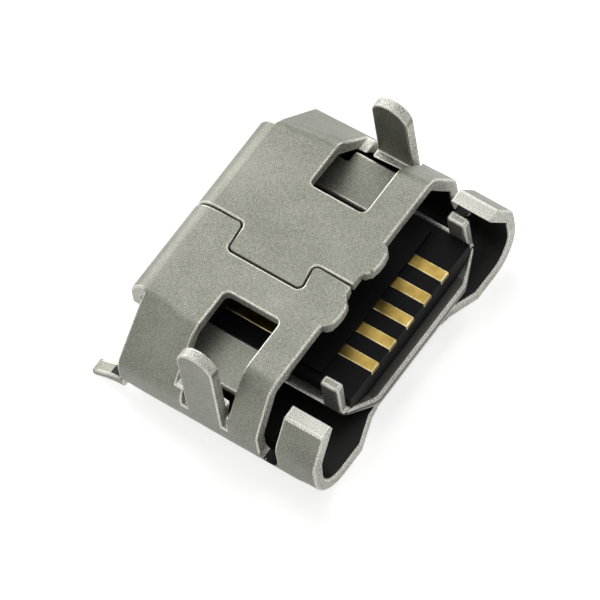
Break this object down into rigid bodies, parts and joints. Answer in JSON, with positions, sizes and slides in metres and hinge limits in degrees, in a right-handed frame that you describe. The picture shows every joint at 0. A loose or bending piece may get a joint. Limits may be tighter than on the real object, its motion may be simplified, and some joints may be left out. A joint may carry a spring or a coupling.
{
  "type": "micro usb socket",
  "caption": "Surface-mount micro USB type B socket: a folded sheet-metal shell with board legs and a flared mouth, around a black tongue with flat gold contacts.",
  "frame": {"origin": "centre of the footprint, at the lowest point of the far wall's lips", "axes": "+X along the width, -Y out of the plug mouth, +Z out of the board side, up the legs"},
  "size_m": [0.0074, 0.006, 0.0036],
  "materials": {
    "shell": "satin tin plate on sheet steel",
    "housing": "moulded black plastic",
    "plate": "satin sheet steel",
    "contact": "gold plated"
  },
  "bodies": {
    "root": {"shell": "shell", "housing": "housing", "tongue_plate": "plate", "contact_1": "contact", "contact_2": "contact", "contact_3": "contact", "contact_4": "contact", "contact_5": "contact"}
  },
  "joints": []
}
